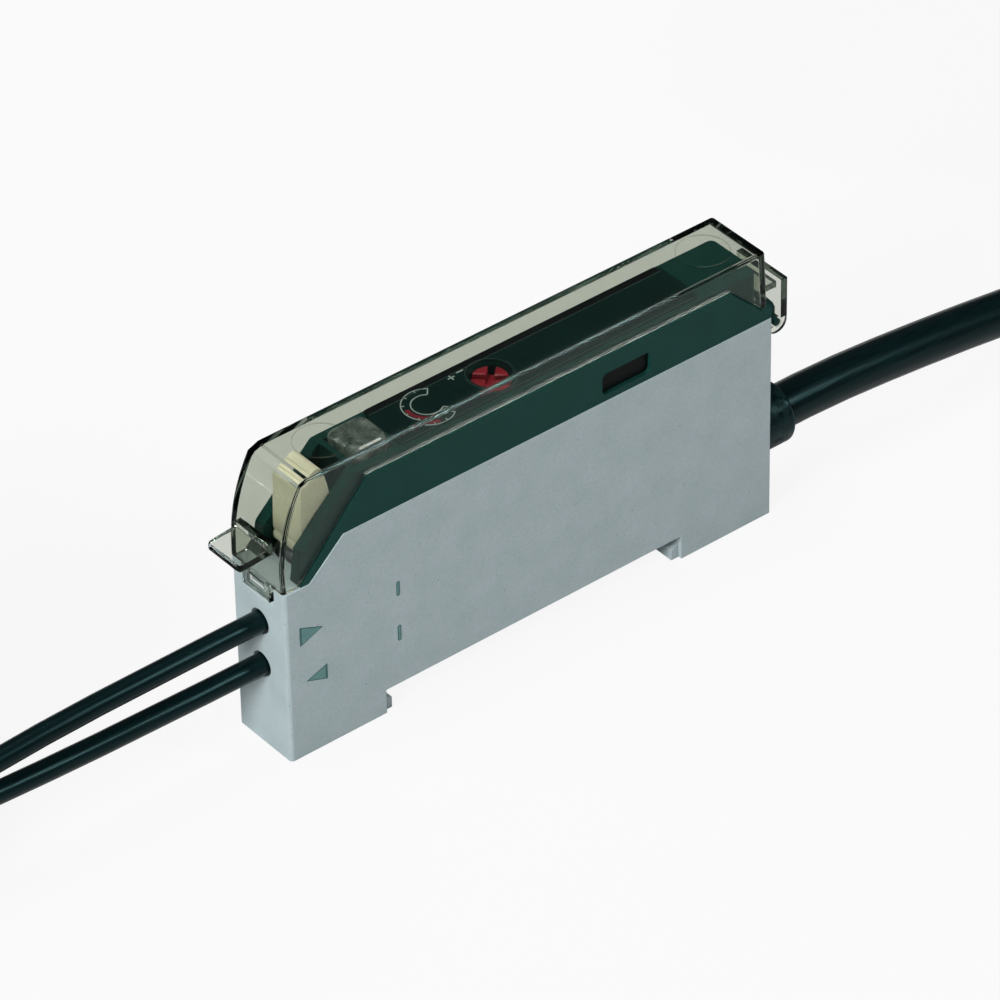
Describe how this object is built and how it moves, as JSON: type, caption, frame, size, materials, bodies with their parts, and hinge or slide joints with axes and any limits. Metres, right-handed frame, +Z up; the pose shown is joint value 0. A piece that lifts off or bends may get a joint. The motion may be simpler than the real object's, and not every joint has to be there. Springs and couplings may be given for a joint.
{
  "type": "fibre optic sensor amplifier",
  "caption": "Slim rail-mounted fibre optic sensor amplifier with a hinged smoke cover, fibre lock lever, sensitivity adjuster, plastic fibres with sensing heads and a coiled cable.",
  "frame": {"origin": "middle of the body's box at the level of its feet, cords left out", "axes": "+X from the fibre end to the cable end, +Y across the narrow body, +Z up from the rail"},
  "size_m": [0.2485, 0.0427, 0.0322],
  "materials": {
    "grey_plastic": "matt",
    "green_plastic": "satin",
    "black_film": "satin",
    "smoke_plastic": "clear smoke",
    "cream_plastic": "satin",
    "spring_steel": "brushed",
    "milky_plastic": "milky",
    "red_plastic": "gloss",
    "black_plastic": "matt",
    "board_laminate": "satin",
    "bare_aluminium": "satin",
    "black_rubber": "satin",
    "cord_jacket": "satin",
    "core_sleeve": "satin",
    "nickel_brass": "nickel plated"
  },
  "bodies": {
    "base": {"main_case": "grey_plastic", "top_deck": "green_plastic", "panel_label": "black_film", "fibre_clamp": "spring_steel", "indicator_lens": "milky_plastic", "indicator_led": "milky_plastic", "trimmer_body": "black_plastic", "circuit_board": "board_laminate", "optics_holder": "black_plastic", "emitter_led": "red_plastic", "receiver_diode": "black_plastic", "amplifier_chip": "black_plastic", "output_transistor": "black_plastic", "capacitor": "bare_aluminium", "cable_gland": "black_rubber", "cable_crimp": "spring_steel", "board_wires": "core_sleeve", "cable_lead": "cord_jacket", "cable_coil": "cord_jacket", "cable_ties": "black_plastic", "cable_end": "cord_jacket", "core_brown": "core_sleeve", "core_blue": "core_sleeve", "core_black": "core_sleeve", "fibre_upper": "cord_jacket", "fibre_lower": "cord_jacket", "fibre_coil_upper": "cord_jacket", "fibre_coil_lower": "cord_jacket", "fibre_tie": "black_plastic", "fibre_tail_upper": "cord_jacket", "fibre_tail_lower": "cord_jacket", "receiver_head": "nickel_brass", "emitter_head": "nickel_brass"},
    "cover": {"dust_cover": "smoke_plastic"},
    "lever": {"lock_lever": "cream_plastic"},
    "rotor": {"adjuster_rotor": "red_plastic"}
  },
  "joints": [
    {"name": "cover_hinge", "type": "hinge", "parent": "base", "child": "cover", "pos_m": [0.0302, 0, 0.0213], "axis": [0, 1, 0], "range_deg": [0, 110]},
    {"name": "lever_pivot", "type": "hinge", "parent": "base", "child": "lever", "pos_m": [-0.0242, 0, 0.0224], "axis": [0, 1, 0], "range_deg": [0, 22]},
    {"name": "rotor_turn", "type": "hinge", "parent": "base", "child": "rotor", "pos_m": [-0.0018, 0, 0.0263], "axis": [0, 0, 1], "range_deg": [-130, 130]}
  ]
}
